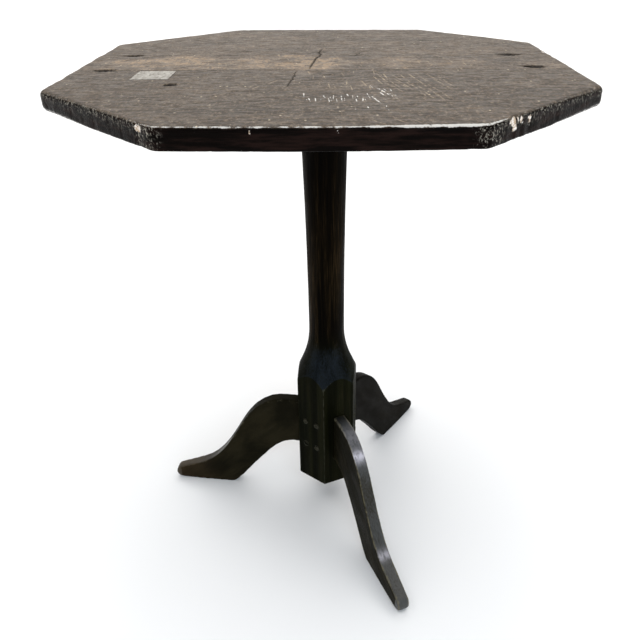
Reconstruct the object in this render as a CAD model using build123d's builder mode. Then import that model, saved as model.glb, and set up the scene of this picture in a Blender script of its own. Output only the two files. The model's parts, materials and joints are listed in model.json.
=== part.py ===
"""Country tilt-top table: an octagonal plank top on a turned column with a three-legged base.

Millimetres, +Z up. The origin is on the floor under the column's axis, and the sitter faces +Y.
The top tilts about two wooden pins near the front of the block on the column's head, and a
wooden turn button under the top locks it down.
"""
import os
from math import cos, radians, sin

from build123d import *

os.makedirs("parts", exist_ok=True)

# ---- driving dimensions -------------------------------------------------------------------

TABLE_HEIGHT = 720.0
TOP_THICKNESS = 24.0
UNDERSIDE = TABLE_HEIGHT - TOP_THICKNESS

# The octagon was sawn by eye, so its eight corners are slightly irregular, and its front edge
# bows out a little between the first two of them.
TOP_CORNERS = [
    (-152, -295),
    (157, -294),
    (308, -144),
    (300, 143),
    (152, 281),
    (-143, 298),
    (-313, 164),
    (-314, -144),
]
FRONT_BOW = (-20.0, -299.0)
CORNER_ROUNDING = 18.0
TOP_ARRIS = 6.0
LOWER_ARRIS = 3.5

# Each seam between planks is a straight line, given by its height at x = 0 and its slope.
BACK_SEAM = (56.0, -0.040)
FRONT_SEAM = (-42.0, -0.028)
SEAM_END = 330.0
TOP_REACH = 340.0

# Hollows broken out of the upper surface: x, y, half length, half width.
HOLLOWS = [
    (-261, 65, 12, 4.5),
    (-272, -35, 14, 5.5),
    (-171, -120, 9, 5.0),
    (245, 47, 14, 5.0),
    (258, -34, 13, 6.5),
]
HOLLOW_DEPTH = 2.5

DOWEL_DIAMETER = 8.0
DOWEL_LENGTH = 50.0
DOWEL_X = (-190.0, 0.0, 190.0)

# Iron fixings. The turn button's screw has a domed head, the others are countersunk.
BATTEN_SCREW = dict(shank=5.0, length=50.0, head=10.0, head_height=4.0)
CLEAT_SCREW = dict(shank=4.0, length=34.0, head=8.0, head_height=3.2)
LATCH_SHANK = 5.0
LATCH_HEAD = 11.0
LATCH_HEAD_HEIGHT = 4.0
LATCH_HEAD_ROUND = 2.5
LATCH_SCREW_BITE = 10.0
LATCH_SLOT = (1.4, 1.6)

# Head of the column: pivot block, pins and the battens that turn on them.
BLOCK_WIDTH = 100.0
BATTEN_HEIGHT = 38.0
BATTEN_WIDTH = 28.0
BATTEN_LENGTH = 430.0
BATTEN_END_HEIGHT = 14.0
BATTEN_TAPER = 70.0
BATTEN_CHAMFER = 2.0
BATTEN_GAP = 1.0
SHOULDER = UNDERSIDE - BATTEN_HEIGHT
REST_GAP = 0.3
PIN_DIAMETER = 14.0
PIN_CLEARANCE = 0.08
PIN_DEPTH = 28.0
PIN_END_INSET = 1.5
PIN_CHAMFER = 1.0
PIVOT_Y = -38.0
PIVOT_DROP = BATTEN_HEIGHT / 2
PIVOT_Z = UNDERSIDE - PIVOT_DROP
BLOCK_NOSE = PIVOT_DROP - REST_GAP
BLOCK_HALF_DEPTH = BLOCK_NOSE - PIVOT_Y
BLOCK_TOP = UNDERSIDE - REST_GAP
BLOCK_CHAMFER = 3.0
BATTEN_X = BLOCK_WIDTH / 2 + BATTEN_GAP + BATTEN_WIDTH / 2

BATTEN_SCREW_Y = (-130.0, -76.0, 8.0, 88.0, 134.0)
SIDES = {"left": -1, "right": 1}

# Turn button under the back plank.
LATCH_Y = 88.0
BUTTON_LENGTH = 80.0
BUTTON_WIDTH = 22.0
BUTTON_THICKNESS = 8.0
BUTTON_BOTTOM = UNDERSIDE - 31.0
BUTTON_PLAY = 0.2
BUTTON_ROUND = 1.5
BUTTON_TOP = BUTTON_BOTTOM + BUTTON_THICKNESS
CLEAT_BOTTOM = BUTTON_TOP + BUTTON_PLAY
CLEAT_WIDTH = 46.0
CLEAT_DEPTH = 34.0
CLEAT_CHAMFER = 3.0
CLEAT_SCREW_X = 15.0
KEEPER_WIDTH = 60.0
KEEPER_DEPTH = 14.0
KEEPER_PLAY = 1.0

# Column: a turned shaft that swells into a hexagonal block.
SHAFT_WAIST_RADIUS = 27.0
SHAFT_HEAD_RADIUS = 33.0
WAIST = 325.0
FLARE_RADIUS = 144.0
FLARE_ANGLE = 23.7
HEX_CORNER_RADIUS = 51.5
HEX_APOTHEM = HEX_CORNER_RADIUS * cos(radians(30))
HEX_BOTTOM = 49.0
HEX_CHAMFER = 1.5
CONE_RUN = 60.0
TENON_RADIUS = 16.0
TENON_TOP = BLOCK_TOP - 0.5
WEDGE_HEIGHT = 24.0
WEDGE_TOP_WIDTH = 4.0
WEDGE_TIP_WIDTH = 1.0

# Legs: flat sawn boards with an S outline, tenoned into every second face of the block.
LEG_THICKNESS = 19.0
LEG_UPPER_EDGE = [
    (HEX_APOTHEM, 183.5),
    (68, 184.5),
    (90, 181.5),
    (111, 170.5),
    (131, 150),
    (152, 115),
    (176, 76),
    (195, 54),
    (215, 40.5),
    (238, 31),
    (259, 23),
]
LEG_UNDERSIDE = [
    (165, 0),
    (150, 14.5),
    (130, 40),
    (111, 63),
    (94, 82),
    (78, 95),
    (HEX_APOTHEM, 100),
]
TOE = (259.0, 0.0)
TOE_NOSE = (269.5, 9.5)
FRONT_LEG_AZIMUTH = 24.4
LEG_AZIMUTHS = {
    "front": FRONT_LEG_AZIMUTH,
    "left": FRONT_LEG_AZIMUTH - 120,
    "back": FRONT_LEG_AZIMUTH + 120,
}

LEG_TENON_THICKNESS = 12.0
LEG_TENON_INNER = 15.0
LEG_TENON_BOTTOM = 108.0
LEG_TENON_TOP = 180.0
MORTISE_END_GAP = 1.0

PEG_DIAMETER = 7.0
PEG_FROM_AXIS = 31.4
PEG_HEIGHTS = {"upper": 164.0, "lower": 119.0}
PEG_PROUD = 0.8
PEG_LENGTH = 90.0
# One peg has been driven below the face between the front and left legs.
SUNK_PEG = "left_leg_peg_lower"
SUNK_DEPTH = 3.0

LABEL_CORNER = (-226.0, -92.0)
LABEL_SIZE = (46.0, 49.0)
LABEL_THICKNESS = 0.4


# ---- shared shapes ------------------------------------------------------------------------

def wood_screw(shank, length, head, head_height, slotted=True):
    """A countersunk screw pointing up from z = 0, where its flat head lies."""
    with BuildPart() as screw:
        with BuildSketch(Plane.XY):
            Circle(head / 2)
        with BuildSketch(Plane.XY.offset(head_height)):
            Circle(shank / 2)
        loft()
        with BuildSketch(Plane.XY.offset(head_height)):
            Circle(shank / 2)
        extrude(amount=length - head_height - shank)
        with BuildSketch(Plane.XY.offset(length - shank)):
            Circle(shank / 2)
        with BuildSketch(Plane.XY.offset(length)):
            Circle(shank / 8)
        loft()
        if slotted:
            with BuildSketch(Plane.XY):
                Rectangle(2 * head, head / 7)
            extrude(amount=head_height / 2, mode=Mode.SUBTRACT)
    return screw.part


def radial_plane(azimuth):
    """Upright plane through the column's axis: x runs outwards, y runs up.

    Azimuth 0 points to the front, along -Y, and grows towards +X.
    """
    a = radians(azimuth)
    return Plane(origin=(0, 0, 0), x_dir=(sin(a), -cos(a), 0), z_dir=(-cos(a), -sin(a), 0))


def seam_y(seam, x):
    """Where a seam between planks lies in Y, at a given x."""
    return seam[0] + seam[1] * x


def hexagon(apothem):
    """Draw the block's hexagon, with one face square to the front leg."""
    RegularPolygon(apothem, 6, major_radius=False, rotation=FRONT_LEG_AZIMUTH)


# ---- fixings ------------------------------------------------------------------------------

batten_screw_hole = wood_screw(**BATTEN_SCREW, slotted=False)
batten_screw = wood_screw(**BATTEN_SCREW)
cleat_screw_hole = wood_screw(**CLEAT_SCREW, slotted=False)
cleat_screw = wood_screw(**CLEAT_SCREW)

batten_screw_places = {
    side: [(sign * BATTEN_X, y, SHOULDER) for y in BATTEN_SCREW_Y]
    for side, sign in SIDES.items()
}
cleat_screw_places = [(-CLEAT_SCREW_X, LATCH_Y, CLEAT_BOTTOM), (CLEAT_SCREW_X, LATCH_Y, CLEAT_BOTTOM)]

for side, places in batten_screw_places.items():
    with BuildPart() as batten_screws:
        with Locations(*places):
            add(batten_screw)
    batten_screws.part.label = f"batten_screws_{side}"
    export_step(batten_screws.part, f"parts/batten_screws_{side}.step")

with BuildPart() as latch_cleat_screws:
    with Locations(*cleat_screw_places):
        add(cleat_screw)
latch_cleat_screws.part.label = "latch_cleat_screws"
export_step(latch_cleat_screws.part, "parts/latch_cleat_screws.step")

# The latch screw runs from its head under the button up through the cleat into the top.
LATCH_SCREW_TOP = UNDERSIDE + LATCH_SCREW_BITE
LATCH_HEAD_TOP = BUTTON_BOTTOM - BUTTON_PLAY
with BuildPart() as latch_screw:
    with BuildSketch(Plane.XY.offset(LATCH_HEAD_TOP)):
        with Locations((0, LATCH_Y)):
            Circle(LATCH_HEAD / 2)
    extrude(amount=-LATCH_HEAD_HEIGHT)
    fillet(latch_screw.edges().sort_by(Axis.Z)[0], LATCH_HEAD_ROUND)
    with BuildSketch(Plane.XY.offset(LATCH_HEAD_TOP)):
        with Locations((0, LATCH_Y)):
            Circle(LATCH_SHANK / 2)
    extrude(amount=LATCH_SCREW_TOP - LATCH_HEAD_TOP)
    with BuildSketch(Plane.XY.offset(LATCH_HEAD_TOP - LATCH_HEAD_HEIGHT)):
        with Locations((0, LATCH_Y)):
            Rectangle(2 * LATCH_HEAD, LATCH_SLOT[0])
    extrude(amount=LATCH_SLOT[1], mode=Mode.SUBTRACT)
latch_screw.part.label = "latch_screw"
export_step(latch_screw.part, "parts/latch_screw.step")

# ---- top: three planks with their grain along X -------------------------------------------

with BuildPart() as whole_top:
    with BuildSketch(Plane.XY.offset(UNDERSIDE)):
        with BuildLine():
            ThreePointArc(TOP_CORNERS[0], FRONT_BOW, TOP_CORNERS[1])
            Polyline(*TOP_CORNERS[1:], TOP_CORNERS[0])
        make_face()
    extrude(amount=TOP_THICKNESS)
    fillet(whole_top.edges().filter_by(Axis.Z), CORNER_ROUNDING)
    fillet(whole_top.edges().group_by(Axis.Z)[-1], TOP_ARRIS)
    fillet(whole_top.edges().group_by(Axis.Z)[0], LOWER_ARRIS)
    for x, y, half_length, half_width in HOLLOWS:
        with BuildSketch(Plane.XY.offset(TABLE_HEIGHT)):
            with Locations((x, y)):
                Ellipse(half_length, half_width)
        extrude(amount=-HOLLOW_DEPTH, mode=Mode.SUBTRACT)
    for places in batten_screw_places.values():
        with Locations(*places):
            add(batten_screw_hole, mode=Mode.SUBTRACT)
    with Locations(*cleat_screw_places):
        add(cleat_screw_hole, mode=Mode.SUBTRACT)
    with BuildSketch(Plane.XY.offset(UNDERSIDE)):
        with Locations((0, LATCH_Y)):
            Circle(LATCH_SHANK / 2)
    extrude(amount=LATCH_SCREW_TOP - UNDERSIDE, mode=Mode.SUBTRACT)

# Round dowels lie across each seam at half the planks' thickness.
seam_dowels = {}
for place, seam in (("back", BACK_SEAM), ("front", FRONT_SEAM)):
    with BuildPart() as dowels:
        for x in DOWEL_X:
            middle = seam_y(seam, x)
            dowel_plane = Plane.XZ.offset(DOWEL_LENGTH / 2 - middle)
            with BuildSketch(dowel_plane):
                with Locations((x, UNDERSIDE + TOP_THICKNESS / 2)):
                    Circle(DOWEL_DIAMETER / 2)
            extrude(amount=-DOWEL_LENGTH)
    dowels.part.label = f"seam_dowels_{place}"
    export_step(dowels.part, f"parts/seam_dowels_{place}.step")
    seam_dowels[place] = dowels.part

back_seam_line = [(x, seam_y(BACK_SEAM, x)) for x in (-SEAM_END, SEAM_END)]
front_seam_line = [(x, seam_y(FRONT_SEAM, x)) for x in (-SEAM_END, SEAM_END)]
back_limit = [(-SEAM_END, TOP_REACH), (SEAM_END, TOP_REACH)]
front_limit = [(-SEAM_END, -TOP_REACH), (SEAM_END, -TOP_REACH)]
plank_strips = {
    "back": (back_seam_line, back_limit, ("back",)),
    "middle": (front_seam_line, back_seam_line, ("back", "front")),
    "front": (front_limit, front_seam_line, ("front",)),
}
for place, (near, far, joints) in plank_strips.items():
    with BuildPart() as plank:
        add(whole_top.part)
        with BuildSketch(Plane.XY.offset(UNDERSIDE)):
            with BuildLine():
                Polyline(*near, *reversed(far), close=True)
            make_face()
        extrude(amount=TOP_THICKNESS, mode=Mode.INTERSECT)
        for joint in joints:
            add(seam_dowels[joint], mode=Mode.SUBTRACT)
    plank.part.label = f"top_plank_{place}"
    export_step(plank.part, f"parts/top_plank_{place}.step")

# What is left of a paper label, stuck to the front plank.
with BuildPart() as paper_label:
    with BuildSketch(Plane.XY.offset(TABLE_HEIGHT)):
        with Locations(LABEL_CORNER):
            Rectangle(*LABEL_SIZE, align=(Align.MIN, Align.MIN))
    extrude(amount=LABEL_THICKNESS)
paper_label.part.label = "paper_label"
export_step(paper_label.part, "parts/paper_label.step")

# ---- battens: across the planks, on both sides of the pivot block -------------------------

for side, sign in SIDES.items():
    half = BATTEN_LENGTH / 2
    with BuildPart() as batten:
        with BuildSketch(Plane.YZ.offset(sign * BATTEN_X)):
            with BuildLine():
                Polyline(
                    (-half, UNDERSIDE),
                    (half, UNDERSIDE),
                    (half, UNDERSIDE - BATTEN_END_HEIGHT),
                    (half - BATTEN_TAPER, SHOULDER),
                    (BATTEN_TAPER - half, SHOULDER),
                    (-half, UNDERSIDE - BATTEN_END_HEIGHT),
                    close=True,
                )
            make_face()
        extrude(amount=BATTEN_WIDTH / 2, both=True)
        chamfer(batten.faces().sort_by(Axis.Z)[0].edges().filter_by(Axis.Y), BATTEN_CHAMFER)
        with BuildSketch(Plane.YZ.offset(sign * BATTEN_X)):
            with Locations((PIVOT_Y, PIVOT_Z)):
                Circle(PIN_DIAMETER / 2 + PIN_CLEARANCE)
        extrude(amount=BATTEN_WIDTH, both=True, mode=Mode.SUBTRACT)
        with Locations(*batten_screw_places[side]):
            add(batten_screw_hole, mode=Mode.SUBTRACT)
    batten.part.label = f"batten_{side}"
    export_step(batten.part, f"parts/batten_{side}.step")

# ---- turn button and its cleat ------------------------------------------------------------

with BuildPart() as latch_cleat:
    with BuildSketch(Plane.XY.offset(CLEAT_BOTTOM)):
        with Locations((0, LATCH_Y)):
            Rectangle(CLEAT_WIDTH, CLEAT_DEPTH)
    extrude(amount=UNDERSIDE - CLEAT_BOTTOM)
    chamfer(latch_cleat.edges().filter_by(Axis.Z), CLEAT_CHAMFER)
    with Locations(*cleat_screw_places):
        add(cleat_screw_hole, mode=Mode.SUBTRACT)
    with BuildSketch(Plane.XY.offset(CLEAT_BOTTOM)):
        with Locations((0, LATCH_Y)):
            Circle(LATCH_SHANK / 2)
    extrude(amount=UNDERSIDE - CLEAT_BOTTOM, mode=Mode.SUBTRACT)
latch_cleat.part.label = "latch_cleat"
export_step(latch_cleat.part, "parts/latch_cleat.step")

# The button lies along X, clear of the block. A quarter turn points it into the keeper slot.
with BuildPart() as latch_button:
    with BuildSketch(Plane.XY.offset(BUTTON_BOTTOM)):
        with Locations((0, LATCH_Y)):
            SlotOverall(BUTTON_LENGTH, BUTTON_WIDTH)
            Circle(LATCH_SHANK / 2 + PIN_CLEARANCE, mode=Mode.SUBTRACT)
    extrude(amount=BUTTON_THICKNESS)
    fillet(latch_button.faces().sort_by(Axis.Z)[0].outer_wire().edges(), BUTTON_ROUND)
latch_button.part.label = "latch_button"
export_step(latch_button.part, "parts/latch_button.step")

# ---- pivot block, pins and the wedged head of the column -----------------------------------

pivot_pins = {}
for side, sign in SIDES.items():
    inner = BLOCK_WIDTH / 2 - PIN_DEPTH
    outer = BATTEN_X + BATTEN_WIDTH / 2 - PIN_END_INSET
    with BuildPart() as pin:
        with BuildSketch(Plane.YZ.offset(sign * inner)):
            with Locations((PIVOT_Y, PIVOT_Z)):
                Circle(PIN_DIAMETER / 2)
        extrude(amount=sign * (outer - inner))
        chamfer(pin.edges().sort_by(Axis.X)[-1 if sign > 0 else 0], PIN_CHAMFER)
    pin.part.label = f"pivot_pin_{side}"
    export_step(pin.part, f"parts/pivot_pin_{side}.step")
    pivot_pins[side] = pin.part

with BuildPart() as pivot_block:
    with BuildSketch(Plane.YZ):
        with BuildLine():
            Polyline(
                (-BLOCK_HALF_DEPTH, PIVOT_Z),
                (-BLOCK_HALF_DEPTH, SHOULDER),
                (BLOCK_HALF_DEPTH, SHOULDER),
                (BLOCK_HALF_DEPTH, BLOCK_TOP),
                (PIVOT_Y, BLOCK_TOP),
            )
            RadiusArc((PIVOT_Y, BLOCK_TOP), (-BLOCK_HALF_DEPTH, PIVOT_Z), -BLOCK_NOSE)
        make_face()
    extrude(amount=BLOCK_WIDTH / 2, both=True)
    chamfer(pivot_block.faces().sort_by(Axis.Z)[0].edges(), BLOCK_CHAMFER)
    with BuildSketch(Plane.XZ.offset(-BLOCK_HALF_DEPTH)):
        with Locations((0, BUTTON_BOTTOM + BUTTON_THICKNESS / 2)):
            Rectangle(KEEPER_WIDTH, BUTTON_THICKNESS + 2 * KEEPER_PLAY)
    extrude(amount=KEEPER_DEPTH, mode=Mode.SUBTRACT)
    with BuildSketch(Plane.XY.offset(SHOULDER)):
        Circle(TENON_RADIUS)
    extrude(amount=BATTEN_HEIGHT, mode=Mode.SUBTRACT)
    for pin_part in pivot_pins.values():
        add(pin_part, mode=Mode.SUBTRACT)
pivot_block.part.label = "pivot_block"
export_step(pivot_block.part, "parts/pivot_block.step")

with BuildPart() as tenon_wedge:
    with BuildSketch(Plane.XZ):
        with BuildLine():
            Polyline(
                (-WEDGE_TOP_WIDTH / 2, TENON_TOP),
                (WEDGE_TOP_WIDTH / 2, TENON_TOP),
                (WEDGE_TIP_WIDTH / 2, TENON_TOP - WEDGE_HEIGHT),
                (-WEDGE_TIP_WIDTH / 2, TENON_TOP - WEDGE_HEIGHT),
                close=True,
            )
        make_face()
    extrude(amount=TENON_RADIUS, both=True)
    with BuildSketch(Plane.XY.offset(TENON_TOP)):
        Circle(TENON_RADIUS)
    extrude(amount=-WEDGE_HEIGHT, mode=Mode.INTERSECT)
tenon_wedge.part.label = "tenon_wedge"
export_step(tenon_wedge.part, "parts/tenon_wedge.step")

# ---- leg pegs: two through each leg's tenon, trimmed just proud of the block ----------------

peg_holes = {}
free_face = FRONT_LEG_AZIMUTH - 60
free_face_normal = Vector(sin(radians(free_face)), -cos(radians(free_face)), 0)
for leg_name, azimuth in LEG_AZIMUTHS.items():
    for level, height in PEG_HEIGHTS.items():
        with BuildPart() as peg:
            with BuildSketch(radial_plane(azimuth)):
                with Locations((PEG_FROM_AXIS, height)):
                    Circle(PEG_DIAMETER / 2)
            extrude(amount=PEG_LENGTH / 2, both=True)
            with BuildSketch(Plane.XY.offset(height - PEG_DIAMETER)):
                hexagon(HEX_APOTHEM + PEG_PROUD)
            extrude(amount=2 * PEG_DIAMETER, mode=Mode.INTERSECT)
        name = f"{leg_name}_leg_peg_{level}"
        peg_holes[name] = peg.part
        if name == SUNK_PEG:
            cut = Plane(
                origin=free_face_normal * (HEX_APOTHEM - SUNK_DEPTH),
                z_dir=free_face_normal,
            )
            with BuildPart() as peg:
                add(peg_holes[name])
                split(bisect_by=cut, keep=Keep.BOTTOM)
        peg.part.label = name
        export_step(peg.part, f"parts/{name}.step")

# ---- column --------------------------------------------------------------------------------

with BuildPart() as column:
    with BuildSketch(Plane.XZ):
        with BuildLine():
            head = (SHAFT_HEAD_RADIUS, SHOULDER)
            waist = (SHAFT_WAIST_RADIUS, WAIST)
            TangentArc(waist, head, tangent=(0, 1))
            flare = JernArc(waist, (0, -1), FLARE_RADIUS, FLARE_ANGLE)
            cone = PolarLine(flare @ 1, CONE_RUN, direction=flare % 1)
            Polyline(
                cone @ 1,
                ((cone @ 1).X, HEX_BOTTOM),
                (0, HEX_BOTTOM),
                (0, TENON_TOP),
                (TENON_RADIUS, TENON_TOP),
                (TENON_RADIUS, SHOULDER),
                head,
            )
        make_face()
    revolve(axis=Axis.Z)
    with BuildSketch(Plane.XY.offset(HEX_BOTTOM)):
        hexagon(HEX_APOTHEM)
    extrude(amount=TABLE_HEIGHT, mode=Mode.INTERSECT)
    chamfer(column.faces().sort_by(Axis.Z)[0].edges(), HEX_CHAMFER)
    for azimuth in LEG_AZIMUTHS.values():
        with BuildSketch(radial_plane(azimuth)):
            with Locations((LEG_TENON_INNER - MORTISE_END_GAP, LEG_TENON_BOTTOM)):
                Rectangle(
                    HEX_CORNER_RADIUS,
                    LEG_TENON_TOP - LEG_TENON_BOTTOM,
                    align=(Align.MIN, Align.MIN),
                )
        extrude(amount=LEG_TENON_THICKNESS / 2, both=True, mode=Mode.SUBTRACT)
    for peg_hole in peg_holes.values():
        add(peg_hole, mode=Mode.SUBTRACT)
    add(tenon_wedge.part, mode=Mode.SUBTRACT)
column.part.label = "column"
export_step(column.part, "parts/column.step")

# ---- legs ------------------------------------------------------------------------------------

for leg_name, azimuth in LEG_AZIMUTHS.items():
    upright = radial_plane(azimuth)
    with BuildPart() as leg:
        with BuildSketch(upright):
            with BuildLine():
                upper_edge = Spline(*LEG_UPPER_EDGE)
                nose = TangentArc(TOE, TOE_NOSE, tangent=(1, 0))
                TangentArc(nose @ 1, upper_edge @ 1, tangent=nose % 1)
                underside = Spline(*LEG_UNDERSIDE)
                Line(TOE, underside @ 0)
                Line(underside @ 1, upper_edge @ 0)
            make_face()
        extrude(amount=LEG_THICKNESS / 2, both=True)
        with BuildSketch(upright):
            with Locations((LEG_TENON_INNER, LEG_TENON_BOTTOM)):
                Rectangle(
                    HEX_APOTHEM - LEG_TENON_INNER,
                    LEG_TENON_TOP - LEG_TENON_BOTTOM,
                    align=(Align.MIN, Align.MIN),
                )
        extrude(amount=LEG_TENON_THICKNESS / 2, both=True)
        for level in PEG_HEIGHTS:
            add(peg_holes[f"{leg_name}_leg_peg_{level}"], mode=Mode.SUBTRACT)
    leg.part.label = f"leg_{leg_name}"
    export_step(leg.part, f"parts/leg_{leg_name}.step")
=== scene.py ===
"""The tilt-top table's looks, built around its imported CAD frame. Metres, +Z up.

The planks are closed triangulated boards with rounded arrises, broken hollows, cracks and marks.
The column, the legs and the small wooden parts are worn copies, remeshed from their CAD nodes.
"""
import json
import math
from itertools import product

import bmesh
import bpy
import numpy as np
from mathutils import Matrix, Vector
from mathutils.geometry import convex_hull_2d, delaunay_2d_cdt

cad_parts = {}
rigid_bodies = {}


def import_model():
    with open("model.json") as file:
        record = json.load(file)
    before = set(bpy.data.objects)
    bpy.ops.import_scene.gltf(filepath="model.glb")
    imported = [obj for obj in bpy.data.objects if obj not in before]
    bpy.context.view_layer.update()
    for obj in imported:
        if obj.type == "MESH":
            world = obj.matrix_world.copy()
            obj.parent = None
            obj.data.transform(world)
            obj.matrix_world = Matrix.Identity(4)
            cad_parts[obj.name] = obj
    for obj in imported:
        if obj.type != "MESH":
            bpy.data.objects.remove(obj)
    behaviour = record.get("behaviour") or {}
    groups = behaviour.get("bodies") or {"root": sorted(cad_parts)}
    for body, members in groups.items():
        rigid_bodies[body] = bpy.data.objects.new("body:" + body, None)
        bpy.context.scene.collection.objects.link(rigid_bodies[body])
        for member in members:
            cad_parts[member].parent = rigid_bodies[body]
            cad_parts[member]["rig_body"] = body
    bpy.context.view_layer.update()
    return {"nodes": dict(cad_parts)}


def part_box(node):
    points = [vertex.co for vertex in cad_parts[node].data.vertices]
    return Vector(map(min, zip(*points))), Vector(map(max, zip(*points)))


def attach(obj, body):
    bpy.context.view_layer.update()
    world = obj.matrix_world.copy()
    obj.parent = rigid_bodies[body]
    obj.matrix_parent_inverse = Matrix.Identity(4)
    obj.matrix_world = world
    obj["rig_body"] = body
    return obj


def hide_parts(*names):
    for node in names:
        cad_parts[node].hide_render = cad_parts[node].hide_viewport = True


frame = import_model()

MM = 0.001
SEED = 7

# ---- places on the table, in metres ----

TOP_LOW, TOP_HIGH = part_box("top_plank_front")
TOP_Z = TOP_HIGH.z
UNDERSIDE_Z = TOP_LOW.z

# Hollows broken out of the top: x, y, half length, half width, turn in degrees.
HOLLOWS = [
    (-0.261, 0.065, 0.013, 0.0075, 9),
    (-0.272, -0.035, 0.015, 0.009, 8),
    (-0.171, -0.12, 0.009, 0.0075, 0),
    (0.245, 0.047, 0.016, 0.008, -8),
    (0.258, -0.034, 0.014, 0.01, -7),
]
HOLLOW_DEPTH = 2.8 * MM

# The column swells out between these two heights.
FLARE_TOP, FLARE_FOOT = 0.335, 0.275

# Cuts across the grain: half width in mm, and the points that the line wanders through.
CUTS = [
    (2.0, [(-0.004, 0.106), (-0.008, 0.078), (-0.005, 0.062), (-0.011, 0.03), (-0.017, -0.038)]),
    (1.3, [(-0.032, -0.046), (-0.034, -0.09), (-0.038, -0.138)]),
    (0.8, [(0.04, 0.046), (0.049, 0.072)]),
]
# Short splits along the grain: x, y, length.
SPLITS = [
    (-0.033, 0.142, 0.034), (-0.006, 0.139, 0.026), (0.043, 0.052, 0.016), (0.06, -0.062, 0.016),
    (0.073, -0.094, 0.02), (0.008, -0.074, 0.014), (-0.053, -0.188, 0.024), (-0.084, -0.156, 0.028),
    (-0.04, 0.004, 0.026), (-0.15, 0.01, 0.016), (0.109, -0.181, 0.016), (0.165, -0.179, 0.03),
    (-0.192, 0.205, 0.024), (-0.24, -0.19, 0.022), (0.17, 0.15, 0.026), (-0.11, 0.09, 0.02),
]
# Places where the arris is broken down to pale wood: x, y, radius, strength, and how far down the
# side the break runs, from 0 to 1.
CHIPS = [
    (-0.17, -0.284, 0.007, 1.0, 0.2), (0.186, -0.269, 0.0068, 1.0, 0.3),
    (0.194, -0.261, 0.005, 0.9, 0.2), (0.184, -0.271, 0.0032, 0.58, 0.9),
    (-0.18, -0.273, 0.004, 0.7, 0.2), (-0.19, -0.263, 0.0045, 0.8, 0.1),
    (-0.232, -0.226, 0.0045, 0.5, 0.1), (-0.262, -0.197, 0.005, 0.5, 0.1),
    (-0.11, -0.3, 0.003, 0.7, 0.1), (-0.06, -0.301, 0.004, 0.7, 0.1),
    (0.02, -0.3, 0.0035, 0.5, 0.1), (0.205, -0.25, 0.0045, 0.8, 0.3),
    (0.222, -0.233, 0.004, 0.6, 0.2), (0.297, 0.065, 0.006, 0.8, 0.2),
]
# Pale marks left by a tool on the front plank: how many, one corner and the size of their area,
# shortest and longest, lean from the Y axis in degrees, half width in mm, and if they are white.
STROKES = [
    (20, (-0.018, -0.2), (0.07, 0.024), (0.008, 0.026), 5, 0.62, True),
    (8, (0.054, -0.2), (0.024, 0.07), (0.014, 0.036), 12, 0.75, True),
    (2, (0.062, -0.198), (0.014, 0.01), (0.007, 0.012), 84, 0.6, True),
    (4, (0.03, -0.24), (0.05, 0.02), (0.004, 0.009), 0, 0.5, True),
    (30, (0.064, -0.185), (0.078, 0.115), (0.02, 0.048), 13, 0.75, False),
    (16, (-0.02, -0.15), (0.09, 0.12), (0.012, 0.034), 5, 0.65, False),
    (22, (-0.2, -0.025), (0.3, 0.075), (0.01, 0.03), 9, 0.5, False),
    (12, (0.1, -0.045), (0.1, 0.05), (0.008, 0.02), 8, 0.6, False),
    (10, (-0.125, -0.2), (0.085, 0.09), (0.008, 0.024), -24, 0.5, False),
    (4, (0.052, -0.29), (0.06, 0.012), (0.01, 0.016), 38, 0.7, False),
]
# Blotches on the front plank where the paint is rubbed to tan wood: x, y, half length, half width.
TAN_SPOTS = [
    (-0.036, -0.284, 0.016, 0.006), (-0.018, -0.06, 0.02, 0.014), (-0.15, -0.1, 0.02, 0.008),
    (0.078, -0.245, 0.012, 0.005), (0.15, -0.236, 0.014, 0.006), (0.045, -0.128, 0.016, 0.007),
]


# ---- noise and small mesh tools ----

LATTICE_SIZE = 64
LATTICE = np.random.default_rng(SEED).uniform(-1, 1, (LATTICE_SIZE,) * 3)


def value_noise(points, size, shift=0.0):
    """Smooth noise from -1 to 1 that varies over about size millimetres, a number or one per axis.

    2-D points count as 3-D ones at height 0.
    """
    p = points / (np.asarray(size) * MM)
    if p.shape[1] == 2:
        p = np.column_stack([p, np.zeros(len(p))])
    p = p + shift
    cell = np.floor(p).astype(int)
    f = p - cell
    f = f * f * (3 - 2 * f)
    total = np.zeros(len(points))
    for corner in product((0, 1), repeat=3):
        index = (cell + corner) % LATTICE_SIZE
        weight = np.prod(np.where(corner, f, 1 - f), axis=1)
        total += weight * LATTICE[tuple(index.T)]
    return total


def smoothstep(low, high, value):
    """0 below low, 1 above high, and smooth between them."""
    t = np.clip((value - low) / (high - low), 0, 1)
    return t * t * (3 - 2 * t)


def in_scene(name, data):
    """A new object in the scene."""
    made = bpy.data.objects.new(name, data)
    bpy.context.scene.collection.objects.link(made)
    return made


def new_object(name, vertices, faces):
    """A smooth-shaded mesh object in the scene."""
    mesh = bpy.data.meshes.new(name)
    mesh.from_pydata(vertices, [], faces)
    mesh.update()
    mesh.polygons.foreach_set("use_smooth", [True] * len(mesh.polygons))
    return in_scene(name, mesh)


def vectors(mesh, field="co"):
    """Each vertex's place, or its "normal", one row each."""
    out = np.empty(len(mesh.vertices) * 3)
    mesh.vertices.foreach_get(field, out)
    return out.reshape(-1, 3)


def set_coordinates(mesh, co):
    """Moves the mesh's vertices."""
    mesh.vertices.foreach_set("co", co.ravel())
    mesh.update()


def paint(mesh, name, values):
    """Stores one number or one vector per vertex for the materials to read."""
    kind, field = ("FLOAT", "value") if values.ndim == 1 else ("FLOAT_VECTOR", "vector")
    attribute = mesh.attributes.new(name, kind, "POINT")
    attribute.data.foreach_set(field, np.ascontiguousarray(values, np.float32).ravel())


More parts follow.
